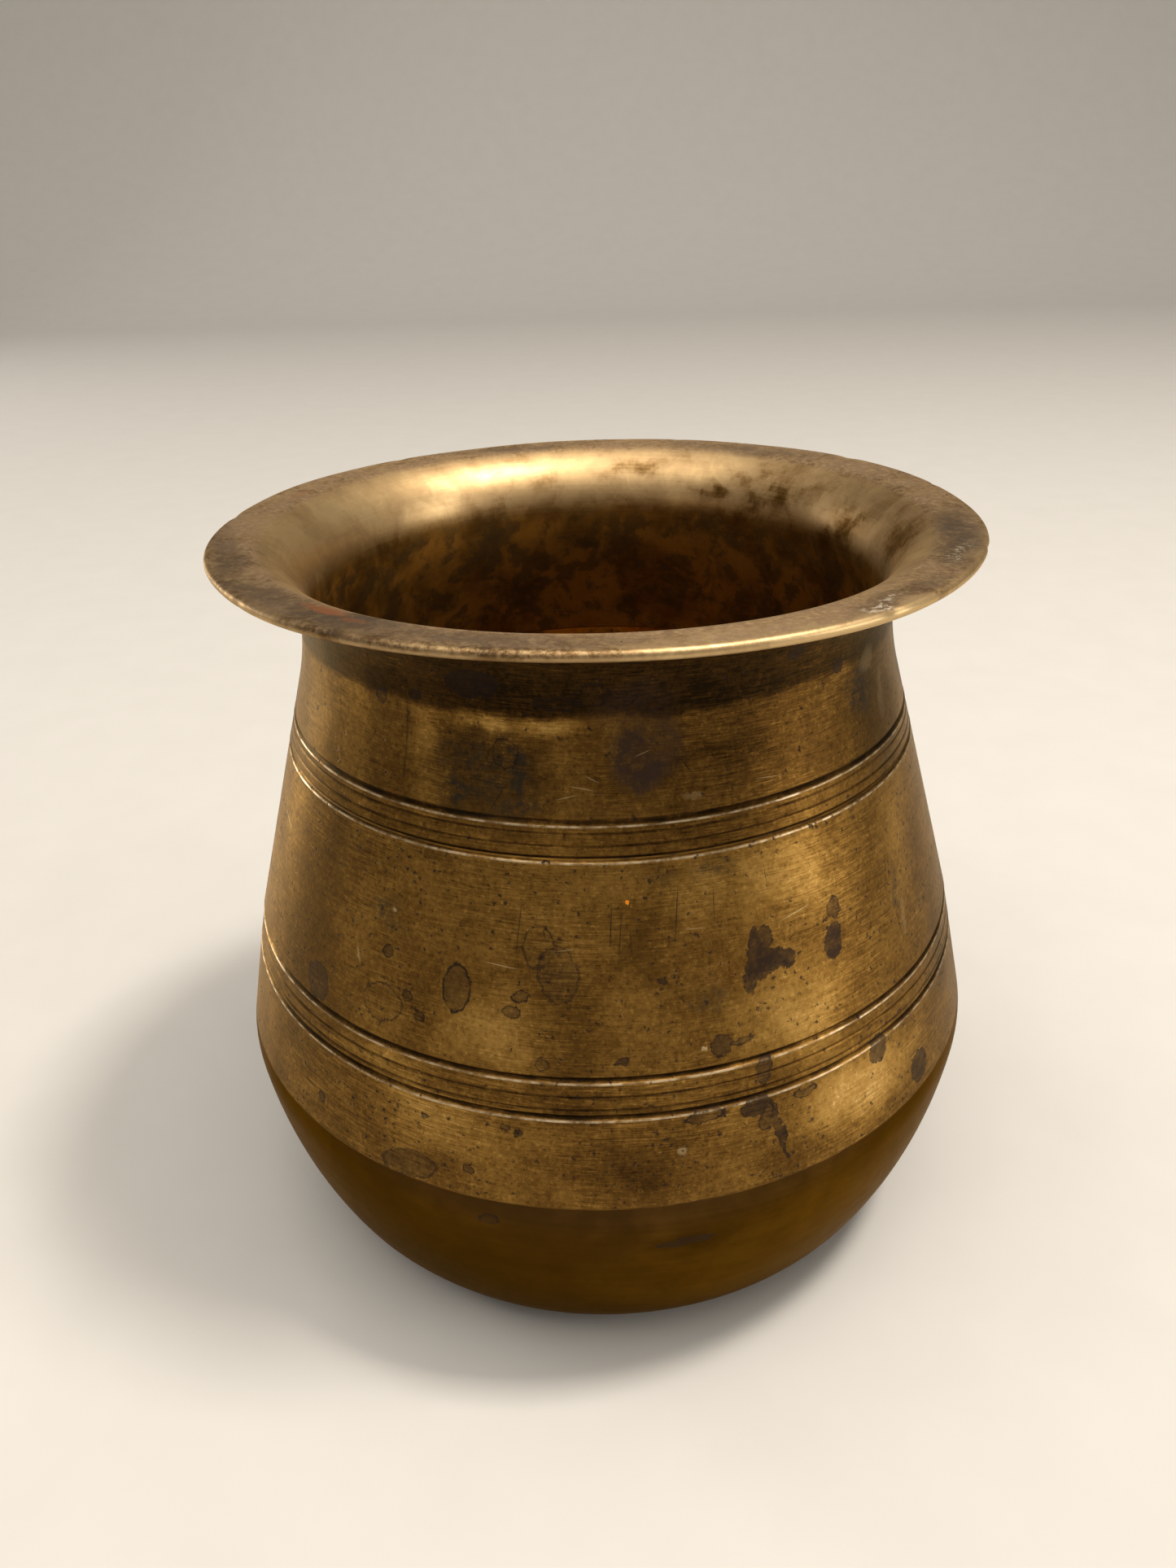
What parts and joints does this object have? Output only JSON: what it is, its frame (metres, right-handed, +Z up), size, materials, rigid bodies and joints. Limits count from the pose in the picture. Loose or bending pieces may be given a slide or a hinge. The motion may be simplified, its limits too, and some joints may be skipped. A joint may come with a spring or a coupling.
{
  "type": "lota water pot",
  "caption": "Round-bodied brass water pot with a flared rim, a short neck, a wall that widens downward, bands of turned lines and a flat-footed bowl bottom.",
  "frame": {"origin": "centre of the resting face, on the pot's axis", "axes": "+Z up along the pot's axis, from the resting face to the mouth; X and Y are alike"},
  "size_m": [0.1346, 0.1346, 0.1266],
  "materials": {
    "neck_brass": "satin, lathe-brushed, aged",
    "wall_brass": "satin, lathe-brushed, aged and water-marked",
    "bottom_brass": "smooth, dark aged",
    "braze_filler": "satin, dull yellow"
  },
  "bodies": {
    "root": {"neck_and_rim": "neck_brass", "upper_braze_ring": "braze_filler", "body_wall": "wall_brass", "lower_braze_ring": "braze_filler", "bottom_bowl": "bottom_brass"}
  },
  "joints": []
}
